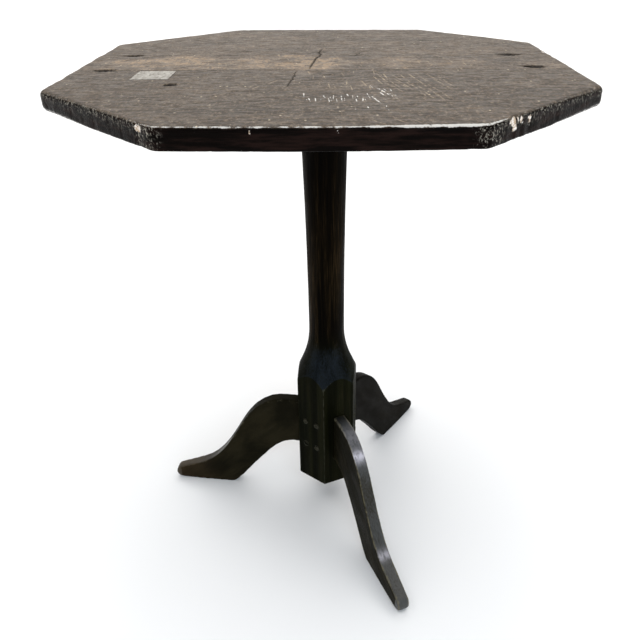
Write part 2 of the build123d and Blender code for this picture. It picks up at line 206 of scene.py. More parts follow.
def neighbour_mean(mesh, values, rounds=1):
    """Averages values over each vertex's neighbours, a few times over."""
    edges = np.empty(len(mesh.edges) * 2, int)
    mesh.edges.foreach_get("vertices", edges)
    a, b = edges.reshape(-1, 2).T
    total = len(mesh.vertices)
    count = np.maximum(np.bincount(np.concatenate([a, b]), minlength=total), 1)
    values = values.reshape(total, -1)
    for _ in range(rounds):
        sums = [np.bincount(a, c[b], total) + np.bincount(b, c[a], total) for c in values.T]
        values = np.column_stack(sums) / count[:, None]
    return values.squeeze()


def convexity(mesh, scale):
    """How far each vertex stands out from its neighbours: about 1 on a sharp arris, 0 on a flat."""
    co = vectors(mesh)
    out = np.sum((co - neighbour_mean(mesh, co, 3)) * vectors(mesh, "normal"), axis=1)
    return np.clip(neighbour_mean(mesh, out) / scale, -1, 1)


def face_means(mesh, values):
    """The mean over each face of a value given for each vertex."""
    return np.array([values[list(face.vertices)].mean() for face in mesh.polygons])


def finish_piece(piece, body, slot, node, *materials):
    """Gives a piece its body and its materials, and hides the node that it stands for. slot is not used.
    """
    for material in materials:
        piece.data.materials.append(material)
    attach(piece, body)
    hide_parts(node)


# ---- materials ----

class Shader:
    """A node material under construction. Sockets and plain values may be mixed as inputs."""

    def __init__(self, name):
        self.material = bpy.data.materials.new(name)
        self.material.use_nodes = True
        self.tree = self.material.node_tree
        self.bsdf = self.tree.nodes["Principled BSDF"]
        self.colour = None
        self.normal = None

    def node(self, kind, inputs=None, **settings):
        """Adds a node, sets its properties, and fills its inputs by name or number."""
        made = self.tree.nodes.new(kind)
        for key, value in settings.items():
            setattr(made, key, value)
        for key, value in (inputs or {}).items():
            self.fill(made.inputs[key], value)
        return made

    def fill(self, socket, value):
        """Links a socket, or sets its constant."""
        if isinstance(value, bpy.types.NodeSocket):
            self.tree.links.new(value, socket)
        elif isinstance(value, (tuple, list)) and socket.type == "RGBA" and len(value) == 3:
            socket.default_value = (*value, 1)
        else:
            socket.default_value = value

    def attribute(self, name, vector=False):
        """Reads what paint() stored."""
        made = self.node("ShaderNodeAttribute", attribute_name=name)
        return made.outputs["Vector" if vector else "Fac"]

    def place(self):
        """Places on the object."""
        return self.node("ShaderNodeTexCoord").outputs["Object"]

    def scaled(self, vector, scale):
        """A vector stretched by scale."""
        return self.node("ShaderNodeMapping", {"Vector": vector, "Scale": scale}).outputs["Vector"]

    def noise(self, vector, scale=1.0, detail=3.0, roughness=0.55, distortion=0.0):
        """Noise from 0 to 1 over the given vector. scale is one number, or one for each axis."""
        if isinstance(scale, tuple):
            vector = self.scaled(vector, scale)
            scale = 1.0
        made = self.node("ShaderNodeTexNoise", {"Vector": vector, "Scale": scale, "Detail": detail,
                                                "Roughness": roughness, "Distortion": distortion})
        return made.outputs["Fac"]

    def ramp(self, value, low, high, out_low=0.0, out_high=1.0):
        """Smoothly maps low..high to out_low..out_high."""
        made = self.node("ShaderNodeMapRange", {"Value": value, "From Min": low, "From Max": high,
                                                "To Min": out_low, "To Max": out_high},
                         interpolation_type="SMOOTHSTEP")
        return made.outputs["Result"]

    def math(self, operation, a, b, clamp=False):
        """One step of arithmetic."""
        return self.node("ShaderNodeMath", {0: a, 1: b}, operation=operation, use_clamp=clamp).outputs[0]

    def plus(self, a, b, clamp=False):
        """a + b, kept from 0 to 1 if clamp is set."""
        return self.math("ADD", a, b, clamp)

    def minus(self, a, b):
        """a - b."""
        return self.math("SUBTRACT", a, b)

    def times(self, a, b):
        """a times b."""
        return self.math("MULTIPLY", a, b)

    def mix(self, factor, a, b):
        """Colour a where factor is 0, colour b where it is 1."""
        return self.node("ShaderNodeMix", {"Factor": factor, 6: a, 7: b}, data_type="RGBA").outputs[2]

    def cover(self, factor, colour):
        """Lays a colour over the one so far, fully where factor is 1."""
        self.colour = self.mix(factor, self.colour, colour)

    def bump(self, height, distance):
        """Adds a bump of the given height in metres to the ones so far."""
        inputs = {"Height": height, "Distance": distance, "Strength": 1.0}
        if self.normal is not None:
            inputs["Normal"] = self.normal
        self.normal = self.node("ShaderNodeBump", inputs).outputs["Normal"]

    def finish(self, roughness, specular=0.5, tint=(1, 1, 1)):
        """Fills the surface shader and returns the material."""
        values = {"Base Color": self.colour, "Roughness": roughness, "Normal": self.normal,
                  "Specular IOR Level": specular, "Specular Tint": tint}
        for name, value in values.items():
            self.fill(self.bsdf.inputs[name], value)
        return self.material


def wood_fields(shader, along=2.5, across=70.0, fibre=900.0):
    """Noise fields stretched along the grain: broad streaks, fine fibres, and round blotches."""
    co = shader.attribute("grain_co", vector=True)
    streaks = shader.noise(co, (along, across, across), 4, distortion=0.4)
    fibres = shader.noise(co, (fibre / 45, fibre, fibre), 3, 0.6)
    blotches = shader.noise(co, (9, 16, 16), 4, 0.6)
    return co, streaks, fibres, blotches


def top_paint(name, specular):
    """Old dark paint on the planks: rubbed, tan where it is worn through, pale along the arris."""
    s = Shader(name)
    co, streaks, fibres, blotches = wood_fields(s, along=6, across=120, fibre=520)
    place = s.place()
    side, wear, chip, hollow, rub = map(s.attribute, ("side", "wear", "chip", "hollow", "rub"))

    dark = s.mix(s.ramp(streaks, 0.35, 0.68), (0.026, 0.018, 0.0115), (0.062, 0.0435, 0.0285))
    brown = s.mix(s.ramp(fibres, 0.32, 0.66), (0.085, 0.061, 0.041), (0.215, 0.155, 0.104))
    rubbed_amount = s.plus(s.ramp(blotches, 0.45, 0.75, 0.0, 0.25), rub, clamp=True)
    s.colour = s.mix(rubbed_amount, dark, brown)

    # Grime in the open grain: short dark dashes along it, and fine grit, dark and light.
    dashes = s.noise(co, (75, 300, 300), 4, 0.65)
    s.cover(s.ramp(dashes, 0.56, 0.68, 0.0, 0.75), (0.012, 0.008, 0.0055))
    grit = s.noise(place, (300, 175, 1), 4, 0.75)
    s.cover(s.ramp(grit, 0.53, 0.66, 0.0, 0.75), (0.215, 0.162, 0.112))
    s.cover(s.ramp(grit, 0.47, 0.37, 0.0, 0.80), (0.008, 0.0055, 0.004))

    # Paint worn through to bare wood in small irregular flecks, most of them on the middle plank.
    fleck_noise = s.noise(place, (170, 110, 1), 5, 0.75, distortion=0.5)
    fleck_level = s.minus(0.69, s.times(rub, 0.20))
    fleck_high = s.plus(fleck_level, 0.05)
    flecks = s.node("ShaderNodeMapRange", {"Value": fleck_noise, "From Min": fleck_level,
                                           "From Max": fleck_high}).outputs["Result"]
    s.cover(s.times(flecks, 0.70), (0.375, 0.28, 0.19))

    # Tool marks: tan scratches, saw marks across the grain, and white nicks.
    broken = s.ramp(s.noise(place, (260, 120, 1), 4), 0.36, 0.54)
    tan_mark = s.times(s.attribute("saw"), broken)
    s.cover(s.times(tan_mark, 0.75), (0.46, 0.36, 0.245))
    nick = s.times(s.attribute("nick"), broken)
    s.cover(s.ramp(nick, 0.12, 0.70), (0.84, 0.81, 0.76))

    # Scattered pale specks.
    specks = s.node("ShaderNodeTexVoronoi", {"Vector": s.scaled(place, (85, 62, 1)), "Scale": 1.0})
    speck = s.ramp(specks.outputs["Distance"], 0.13, 0.05)
    speck = s.times(speck, s.ramp(specks.outputs["Color"], 0.50, 0.75))
    s.cover(s.times(speck, 0.85), (0.62, 0.52, 0.38))

    # The sawn sides keep their thick, nearly black paint with reddish streaks along them.
    side_grain = s.noise(co, (26, 26, 260), 4, 0.6)
    side_dark = s.mix(s.ramp(side_grain, 0.42, 0.70), (0.0010, 0.0005, 0.0005), (0.011, 0.0052, 0.0042))
    s.cover(side, side_dark)
    crackle = s.ramp(s.noise(place, (460, 460, 300), 4, 0.75), 0.53, 0.63)
    crackle = s.times(crackle, s.attribute("crackle"))
    s.cover(s.times(crackle, 0.85), (0.36, 0.33, 0.275))
    chip_noise = s.noise(place, (240, 240, 300), 5, 0.75)
    spread = s.minus(chip_noise, 0.5)
    # Pale paint where wear is set: worn paint on the upper arrises, which along the front is also a
    # painted highlight, and a painted highlight on the diagonals' lower arris.
    worn = s.plus(wear, s.times(spread, 1.6))
    s.cover(s.ramp(worn, 0.50, 0.85, 0.0, 0.90), (0.58, 0.56, 0.52))
    bare = s.ramp(s.plus(chip, s.times(spread, 1.2)), 0.45, 0.62)
    pale = s.mix(s.ramp(chip_noise, 0.45, 0.6), (0.50, 0.38, 0.27), (0.88, 0.82, 0.76))
    s.cover(bare, pale)
    grime = s.mix(s.ramp(fleck_noise, 0.50, 0.62), (0.003, 0.0022, 0.0018), (0.040, 0.034, 0.027))
    s.cover(hollow, grime)

    rough = s.ramp(s.noise(co, (60, 150, 90), 5, 0.65), 0.3, 0.7, 0.36, 0.60)
    rough = s.plus(rough, s.times(flecks, 0.2), clamp=True)
    rough = s.minus(rough, s.times(side, 0.14))
    rough = s.minus(rough, s.times(s.attribute("gloss"), 0.12))
    rough = s.plus(rough, s.times(hollow, 0.4), clamp=True)
    s.bump(s.plus(s.times(fibres, 0.7), s.times(streaks, 0.3)), 0.0004)
    s.bump(s.plus(s.times(dashes, -0.6), grit), 0.0004)
    s.bump(s.plus(fleck_noise, s.times(nick, -0.8)), 0.0003)
    return s.finish(rough, specular=specular, tint=(1.0, 0.885, 0.775))


def dark_paint(name, specular, tones, low_tones, rub_and_sheen_colour, bare, along=2.5, across=70,
               tint=(1.0, 0.9, 0.75)):
    """Nearly black paint over grain, rubbed where the piece is handled and worn on its arrises.

    tones are dark, light and warm. Below the flare low_tones, a dark and a light one, replace the
    first two, and the warm fibres fade out. The rubbed colour is laid where rub is set: on the legs
    it is rubbed paint with a painted sheen over it, on the column's flare a painted reflection. The
    paint also darkens towards the top as painted shade, and takes painted glints.
    """
    s = Shader(name)
    co, streaks, fibres, blotches = wood_fields(s, along=along, across=across)
    wear, rub, hollow = map(s.attribute, ("wear", "rub", "hollow"))
    place = s.place()
    height_up = s.node("ShaderNodeSeparateXYZ", {"Vector": place}).outputs["Z"]
    upper = s.ramp(height_up, FLARE_FOOT, FLARE_TOP)
    streaky = s.ramp(streaks, 0.38, 0.68)
    s.colour = s.mix(upper, s.mix(streaky, *low_tones), s.mix(streaky, tones[0], tones[1]))
    warm = s.times(s.ramp(fibres, 0.48, 0.70), s.ramp(streaks, 0.42, 0.60))
    warm = s.times(warm, s.plus(s.times(upper, 0.65), 0.15))
    s.cover(warm, tones[2])
    # Rubbed places: on the legs rubbed paint with a painted sheen, on the column's flare a painted
    # reflection of the light.
    rub_and_sheen_mask = s.plus(rub, s.times(s.minus(streaks, 0.5), 0.9))
    rub_and_sheen_mask = s.plus(rub_and_sheen_mask, s.times(s.minus(fibres, 0.5), 1.5))
    s.cover(s.ramp(rub_and_sheen_mask, 0.20, 0.95, 0.0, 0.9), rub_and_sheen_colour)
    # Painted shade: darker towards the top of the column, standing in for the shadow of the table top.
    s.cover(s.times(s.ramp(height_up, 0.38, 0.64), 0.8), (0.0008, 0.0005, 0.0004))
    scuffs = s.noise(co, (90, 220, 220), 5, 0.7)
    worn = s.plus(wear, s.times(s.minus(scuffs, 0.5), 1.8))
    s.cover(s.ramp(worn, 0.60, 1.05, 0.0, 0.8), bare)
    scuffed = s.times(s.attribute("scuffed"), s.ramp(blotches, 0.32, 0.62, 0.3, 1.0))
    s.cover(scuffed, (0.036, 0.024, 0.0125))
    # Darker where hollow is set: inside corners, and the painted shade that grime gives a whole leg.
    s.cover(hollow, (0.002, 0.0015, 0.001))
    rough = s.ramp(s.noise(co, (18, 50, 50), 4), 0.3, 0.7, 0.36, 0.55)
    # Painted glints: pale spots standing for highlights on the front leg's upper face.
    painted_glint = s.times(s.attribute("painted_glint"), s.ramp(scuffs, 0.35, 0.55, 0.3, 1.0))
    s.cover(painted_glint, (0.60, 0.58, 0.64))
    s.bump(s.plus(s.times(fibres, 0.6), streaks), 0.0005)
    s.bump(scuffs, 0.0003)
    return s.finish(rough, specular=specular, tint=tint)


def bare_wood(name, tones, specular=0.3):
    """Unpainted or stained wood with open grain."""
    s = Shader(name)
    _, streaks, fibres, blotches = wood_fields(s, across=55)
    wear = s.attribute("wear")
    s.colour = s.mix(s.ramp(streaks, 0.3, 0.7), tones[0], tones[1])
    s.cover(s.ramp(fibres, 0.45, 0.75, 0.0, 0.6), tones[2])
    s.cover(s.ramp(blotches, 0.45, 0.75, 0.0, 0.5), tones[0])
    s.cover(s.ramp(wear, 0.4, 0.9, 0.0, 0.5), tones[2])
    rough = s.ramp(streaks, 0.3, 0.7, 0.55, 0.78)
    s.bump(s.plus(fibres, streaks), 0.0005)
    return s.finish(rough, specular=specular)


def old_iron():
    """Hand-filed iron with dark rust."""
    s = Shader("old_iron")
    place = s.place()
    pits = s.noise(place, 900, 5, 0.7)
    rust = s.noise(place, 260, 4, 0.6)
    s.colour = s.mix(s.ramp(rust, 0.45, 0.62), (0.045, 0.042, 0.040), (0.10, 0.045, 0.022))
    s.fill(s.bsdf.inputs["Metallic"], s.ramp(rust, 0.45, 0.62, 0.9, 0.15))
    rough = s.ramp(pits, 0.3, 0.7, 0.42, 0.75)
    s.bump(pits, 0.0003)
    return s.finish(rough)


def label_paper():
    """Torn, dirty paper and the glue under it."""
    s = Shader("label_paper")
    place = s.place()
    blotches = s.noise(place, (130, 60, 1), 5, 0.65)
    grime = s.noise(place, (380, 130, 1), 4, 0.7)
    s.colour = s.mix(s.ramp(blotches, 0.38, 0.66), (0.31, 0.288, 0.255), (0.47, 0.445, 0.40))
    s.cover(s.ramp(grime, 0.52, 0.64, 0.0, 0.6), (0.13, 0.12, 0.10))
    rough = s.ramp(grime, 0.3, 0.7, 0.7, 0.95)
    s.bump(s.plus(blotches, grime), 0.0004)
    return s.finish(rough, specular=0.2)


TOP_PAINT = top_paint("top_paint", 0.31)
SIDE_PAINT = top_paint("side_paint", 0.035)
COLUMN_PAINT = dark_paint(
    "column_paint", 0.014, [(0.0008, 0.0005, 0.0003), (0.0075, 0.0048, 0.0021), (0.046, 0.027, 0.0105)],
    low_tones=[(0.0027, 0.0030, 0.0012), (0.0080, 0.0086, 0.0034)],
    rub_and_sheen_colour=(0.0118, 0.0158, 0.0215), bare=(0.034, 0.034, 0.024), tint=(1.0, 0.95, 0.8))
LEG_LOOK = dict(tones=[(0.0028, 0.0027, 0.0016), (0.0080, 0.0070, 0.0040), (0.024, 0.018, 0.0095)],
                low_tones=[(0.0062, 0.0056, 0.0028), (0.0165, 0.0138, 0.0068)],
                rub_and_sheen_colour=(0.054, 0.058, 0.061), bare=(0.125, 0.112, 0.072), along=14, across=30)
LEG_PAINT = dark_paint("leg_paint", 0.02, **LEG_LOOK)
RUBBED_LEG_PAINT = dark_paint("rubbed_leg_paint", 0.34, **LEG_LOOK)
UNDERSIDE_WOOD = bare_wood("underside_wood", [(0.014, 0.009, 0.006), (0.034, 0.022, 0.013),
                                              (0.060, 0.040, 0.024)], specular=0.12)
RAW_WOOD = bare_wood("raw_wood", [(0.10, 0.065, 0.038), (0.19, 0.125, 0.074), (0.28, 0.20, 0.13)])
PEG_WOOD = bare_wood("peg_wood", [(0.009, 0.0088, 0.005), (0.024, 0.023, 0.014),
                                  (0.060, 0.056, 0.038)], specular=0.06)
IRON = old_iron()
PAPER = label_paper()

# ---- top: three boards ----

ARRIS_STEPS = np.array([0.0, 0.25, 0.7, 1.4, 2.3, 3.4, 4.8, 6.4, 8.2, 10.2]) * MM
FACE_MARGIN = ARRIS_STEPS[-1] + 0.8 * MM
GRID_ALONG, GRID_ACROSS = 2.6 * MM, 1.6 * MM
OUTLINE_STEP = 2.2 * MM
BULGE = 2.0 * MM
# Share of the height between the arrises, then turns of the lower arris in degrees.
WALL_LEVELS = (0.2, 0.45, 0.7, 1.0)
LOWER_TURNS = (25, 50, 70, 90)
# Of all those rings, the ones on the lower arris that get a painted highlight in the pale worn colour,
# and how strong it is.
HIGHLIGHT_RINGS = (4, 5)
LOWER_HIGHLIGHT = 0.62
# The chips' ragged outlines are drawn with each board's seed plus this.
CHIP_SEED = 5
SEAM_LOWER = 0.8 * MM
# The rough grid leaves out its points in the cells of this size that hold details.
FINE_CELL = 1.6 * MM


def corners_of(*nodes):
    """The nodes' convex outline from above, counter-clockwise, without doubled corners."""
    points = [v.co.xy for node in nodes for v in frame["nodes"][node].data.vertices]
    hull = np.array([points[i] for i in convex_hull_2d(points)])
    hull = hull[np.linalg.norm(hull - np.roll(hull, 1, axis=0), axis=1) > 0.1 * MM]
    following = np.roll(hull, -1, axis=0)
    area = np.sum(hull[:, 0] * following[:, 1] - following[:, 0] * hull[:, 1])
    return hull if area > 0 else hull[::-1]


def sides_of(hull):
    """The outline's sides, each as its start and its end."""
    return list(zip(hull, np.roll(hull, -1, axis=0)))


def outline_of(hull):
    """Evenly spaced points along the outline of the given corners, and those points bulged.

    The bulged line has no three points in a row, so that no face inside it is flat.
    """
    points, bulged = [], []
    for start, end in sides_of(hull):
        run = end - start
        length = np.linalg.norm(run)
        steps = max(1, round(length / OUTLINE_STEP))
        outward = np.array([run[1], -run[0]]) / length * BULGE
        for t in np.arange(steps) / steps:
            points.append(start + run * t)
            bulged.append(points[-1] + outward * 4 * t * (1 - t))
    return np.array(points), np.array(bulged)


def left_of(run):
    """The 2-D unit vector to the left of a run."""
    return np.array([-run[1], run[0]]) / np.linalg.norm(run)


def edge_field(points, sides):
    """How far each point lies in from the nearest side, at least 0, and its inward normal."""
    best = np.full(len(points), np.inf)
    normal = np.zeros((len(points), 2))
    for start, end in sides:
        edge = end - start
        inward = left_of(edge)
        across = (points - start) @ inward
        nearer = across < best
        best = np.where(nearer, across, best)
        normal[nearer] = inward
    return np.maximum(best, 0), normal


def seam_sides(sides, outer_sides):
    """The board's sides that lie inside the whole top's outline."""
    middles = np.array([(start + end) / 2 for start, end in sides])
    inside = edge_field(middles, outer_sides)[0] > 5 * MM
    return [side for side, keep in zip(sides, inside) if keep]


def arris_drop(distance, radius):
    """How far a rounded arris lies below the face, at a distance in from the edge."""
    inside = np.clip(distance, 0, radius)
    return radius - np.sqrt(np.maximum(radius**2 - (radius - inside) ** 2, 0))


def inset(amount, distance):
    """The inward move that sets an edge in by amount and never passes the points further in."""
    return (amount * np.exp(-distance / np.maximum(amount, 1e-6)))[:, None]


def inward_shift(outline):
    """For each outline point, the move inwards that keeps offset lines parallel."""
    edge = np.roll(outline, -1, axis=0) - outline
    edge /= np.maximum(np.linalg.norm(edge, axis=1), 1e-9)[:, None]
    inward = np.column_stack([-edge[:, 1], edge[:, 0]])
    before = np.roll(inward, 1, axis=0)
    both = inward + before
    return both / np.maximum(np.sum(both * inward, axis=1), 0.3)[:, None]


def line_distance(points, line):
    """Distance from each point to a polyline, and how far along it the nearest place is."""
    best = np.full(len(points), np.inf)
    along = np.zeros(len(points))
    done = 0.0
    for start, end in zip(line[:-1], line[1:]):
        run = end - start
        length = np.linalg.norm(run)
        t = np.clip((points - start) @ run / length**2, 0, 1)
        gap = np.linalg.norm(points - start - t[:, None] * run, axis=1)
        nearer = gap < best
        best = np.where(nearer, gap, best)
        along = np.where(nearer, done + t * length, along)
        done += length
    return best, along / done


def hollow_shape(points):
    """How deep the broken hollows are at each point, from 0 to 1."""
    depth = np.zeros(len(points))
    ragged = value_noise(points, 3.2)
    for x, y, half_length, half_width, turn in HOLLOWS:
        a = math.radians(turn)
        dx, dy = (points - (x, y)).T
        u = (dx * math.cos(a) + dy * math.sin(a)) / half_length
        v = (dy * math.cos(a) - dx * math.sin(a)) / half_width
        depth = np.maximum(depth, smoothstep(1.15, 0.35, np.hypot(u, v) + 0.22 * ragged))
    return depth


def close_to(points, line, reach):
    """Which points lie in the line's bounding box, widened by reach."""
    low, high = np.min(line, axis=0) - reach, np.max(line, axis=0) + reach
    return np.all((points > low) & (points < high), axis=1)


def split_lines():
    """The cuts and splits, as lines with a half width and a depth in metres."""
    lines = [(np.array(line), half_width * MM, 1.6 * MM) for half_width, line in CUTS]
    for x, y, length in SPLITS:
        bend = 0.8 * MM * math.sin(900 * x)
        line = [(x - length / 2, y), (x, y + bend), (x + length / 2, y - bend)]
        lines.append((np.array(line), 1.2 * MM, 1.0 * MM))
    return lines


def crack_shape(points):
    """How deep the cuts and splits are at each point, in metres."""
    ragged = value_noise(points, 4.5, shift=9.0)
    depth = np.zeros(len(points))
    for line, half_width, deepest in split_lines():
        near = close_to(points, line, 4 * MM)
        if not near.any():
            continue
        jag = 1.3 * MM * value_noise(points[near], 8)
        gap, along = line_distance(points[near] + np.column_stack([jag, 0 * jag]), line)
        gap = np.abs(gap + 0.35 * MM * ragged[near])
        ends = np.sin(math.pi * np.clip(along, 0.02, 0.98)) ** 0.5
        here = deepest * ends * smoothstep(half_width, 0, gap) * (0.7 + 0.3 * ragged[near])
        depth[near] = np.maximum(depth[near], here)
    return depth


def stroke_marks():
    """The tool marks as straight strokes: start, end, half width, strength, and if white."""
    rng = np.random.default_rng(SEED + 1)
    marks = []
    for count, corner, size, lengths, lean, half_width, white in STROKES:
        for k in range(count):
            place = (k + rng.uniform(0, 1)) / count, rng.uniform(0, 1)
            middle = np.array(corner) + np.array(place) * size
            a = math.radians(lean + rng.uniform(-7, 7))
            half = rng.uniform(*lengths) / 2 * np.array([math.sin(a), -math.cos(a)])
            strength = rng.uniform(0.45, 1.0)
            width = half_width * MM * rng.uniform(0.8, 1.4)
            marks.append((middle - half, middle + half, width, strength, white))
    return marks


STROKE_MARKS = stroke_marks()


def stroke_shape(points, white):
    """How strongly the white or the tan strokes mark each point, from 0 to 1."""
    ragged = value_noise(points, 2.2, shift=3.0)
    amount = np.zeros(len(points))
    for start, end, half_width, strength, is_white in STROKE_MARKS:
        near = close_to(points, [start, end], 3 * MM)
        if is_white == white and near.any():
            gap, along = line_distance(points[near], [start, end])
            taper = np.sin(math.pi * np.clip(along, 0.1, 0.9)) ** 0.5 * (1 + 0.6 * ragged[near])
            here = strength * smoothstep(1.25 * half_width, 0.3 * half_width, gap) * taper
            amount[near] = np.maximum(amount[near], here)
    return np.clip(amount, 0, 1)


def fine_points():
    """Extra points where hollows, cracks and tool marks need them."""
    points = []
    for x, y, half_length, half_width, _ in HOLLOWS:
        reach = half_length + 3 * MM
        xs = np.arange(x - reach, x + reach, 0.9 * MM)
        ys = np.arange(y - half_width - 4 * MM, y + half_width + 4 * MM, 0.8 * MM)
        points.append(grid_points(xs, ys))
    for line, half_width, _ in split_lines():
        for start, end in zip(line[:-1], line[1:]):
            run = end - start
            steps = int(np.linalg.norm(run) / (0.8 * MM))
            side = left_of(run)
            for k, offset in product(range(steps), (-2.2, -1.1, 0, 1.1, 2.2)):
                points.append([start + run * k / steps + side * offset * half_width])
    for start, end, half_width, _, _ in STROKE_MARKS:
        run = end - start
        side = left_of(run) * half_width
        steps = 2 + int(np.linalg.norm(run) / (1.5 * MM))
        for t, offset in product(np.linspace(0, 1, steps), (-1.5, -0.75, 0, 0.75, 1.5)):
            points.append([start + run * t + side * offset])
    return np.concatenate(points)


def triangulate(points, ring):
    """Delaunay faces of 2-D points inside the closed line of the first ones, numbered alike."""
    border = [list(range(ring))]
    result = delaunay_2d_cdt([Vector(p) for p in points], [], border, 1, 1e-9)
    source = [ids[0] for ids in result[3]]
    return [[source[i] for i in face] for face in result[2]]


def tan_areas(flat, seed, level):
    """How far the paint is rubbed down to tan wood: in blotches, most at the middle's left end."""
    blotch = value_noise(flat, (46, 26), seed + 7)
    blotch += 0.7 * value_noise(flat, (17, 12), seed + 8)
    middle = float(level > 0.3)
    x, y = flat.T
    left_end = smoothstep(0.13, 0.03, np.hypot(x + 0.19, (y - 0.01) * 1.6))
    centre = smoothstep(0.10, 0.02, np.hypot(x + 0.03, (y - 0.005) * 1.1))
    rub = level * (0.85 + 1.1 * blotch) - 0.18 * middle * smoothstep(0.05, 0.25, x)
    rub += (0.30 * left_end * middle + 0.30 * centre) * (1 + 0.6 * blotch)
    for spot_x, spot_y, half_length, half_width in TAN_SPOTS:
        reach = np.hypot((x - spot_x) / half_length, (y - spot_y) / half_width)
        rub += 0.55 * smoothstep(1.1, 0.2, reach + 0.45 * blotch)
    return np.clip(rub, 0, 1)


def chip_shape(places, seed, down=0.0):
    """How strongly the arris is broken at each place, from 0 to 1, a share of the way down."""
    ragged = value_noise(places, 3.4, seed) + 0.5 * value_noise(places, 1.6, seed + 1)
    amount = np.zeros(len(places))
    for x, y, radius, strength, run in CHIPS:
        gap = np.hypot(places[:, 0] - x, places[:, 1] - y) / radius
        reached = smoothstep(1.25 * run, 0.5 * run, down)
        here = strength * reached * smoothstep(1.2, 0.3, gap + 0.45 * ragged)
        amount = np.maximum(amount, here)
    return amount


def crackle_shape(places, turned):
    """How much the paint is crackled: along the diagonal arrises and all down their front ends."""
    x, y = np.abs(places[:, 0]), places[:, 1]
    diagonal = smoothstep(0.145, 0.165, x) * smoothstep(-0.12, -0.15, y)
    corner = smoothstep(0.022, 0.008, np.hypot(x - 0.160, y + 0.290))
    high = smoothstep(0.05, 0.30, turned) * smoothstep(1.35, 0.85, turned)
    return np.clip(0.9 * diagonal * high + 0.7 * corner * smoothstep(0.10, 0.35, turned), 0, 1)


def grid_points(xs, ys):
    """Every pair of the given places along X and Y."""
    return np.stack(np.meshgrid(xs, ys), -1).reshape(-1, 2)


def rough_grid(hull, every_x=1, every_y=1):
    """Points in rows over a board, or only every so many of them."""
    low, high = hull.min(axis=0), hull.max(axis=0)
    return grid_points(np.arange(low[0], high[0], GRID_ALONG)[::every_x],
                       np.arange(low[1], high[1], GRID_ACROSS)[::every_y])


def inner(points, sides, margin):
    """The points that lie more than margin in from the sides."""
    return points[edge_field(points, sides)[0] > margin]


def face_points(hull, outline, sides, seed):
    """The points of a board's upper face: the outline, lines inside it, a rough grid, details."""
    rng = np.random.default_rng(seed)
    shift = inward_shift(outline)
    rings = [inner(outline + shift * step, sides, 0.9 * step) for step in ARRIS_STEPS[1:]]
    grid = rough_grid(hull)
    grid += rng.uniform(-0.3, 0.3, grid.shape) * (GRID_ALONG, GRID_ACROSS)
    grid = inner(grid, sides, FACE_MARGIN)
    fine = inner(fine_points(), sides, FACE_MARGIN)
    cells = {tuple(c) for c in np.floor(fine / FINE_CELL).astype(int)}
    keep = [tuple(c) not in cells for c in np.floor(grid / FINE_CELL).astype(int)]
    return np.concatenate([outline, *rings, grid[keep], fine])


def upper_relief(flat, seed, near_edge):
    """How far the upper face is worn down at each point: waves, open grain and dents."""
    waves = 0.14 * (1 + value_noise(flat, (160, 60), seed))
    grain = 0.035 * (1 + value_noise(flat, (30, 3.4), seed + 1))
    dents = 0.40 * smoothstep(0.50, 0.95, value_noise(flat, (11, 7), seed + 2))
    return (waves + grain + dents) * MM * smoothstep(0, 7 * MM, near_edge)


def arris_wear_and_highlight(flat, seed, front, gloss_and_highlight, edge_line):
    """How pale the upper arris is painted: worn paint in patches, most along the front, where it is also
    a painted highlight.
    """
    diagonals = smoothstep(0.15, 0.17, np.abs(flat[:, 0])) * (flat[:, 1] < -0.02)
    patchy = value_noise(flat, 14, seed + 12) + 0.8 * value_noise(flat, 4, seed + 13)
    # Along the front the pale colour is worn paint and also a painted highlight; the extra on the glossy
    # right half is a painted highlight.
    level = 0.25 + 0.42 * front + 0.35 * gloss_and_highlight + 0.20 * diagonals
    level += 0.30 * (front - 0.6 * gloss_and_highlight) * patchy
    return edge_line * level


def wall_levels(wall_top, lower_height):
    """The heights of the rings down a board's side, and how far in each stands, as a share."""
    wall = UNDERSIDE_Z + lower_height - wall_top
    levels = [(wall_top + wall * level, 0.0) for level in WALL_LEVELS]
    for turn in LOWER_TURNS:
        a = math.radians(turn)
        levels.append((UNDERSIDE_Z + lower_height * (1 - math.sin(a)), 1 - math.cos(a)))
    levels.append((np.full(len(wall_top), UNDERSIDE_Z), 1.25))
    return levels


def unmarked_side(names, count):
    """What a board's points carry below its upper face, where nothing marks them."""
    return {**dict.fromkeys(names, np.zeros(count)), "side": np.ones(count)}


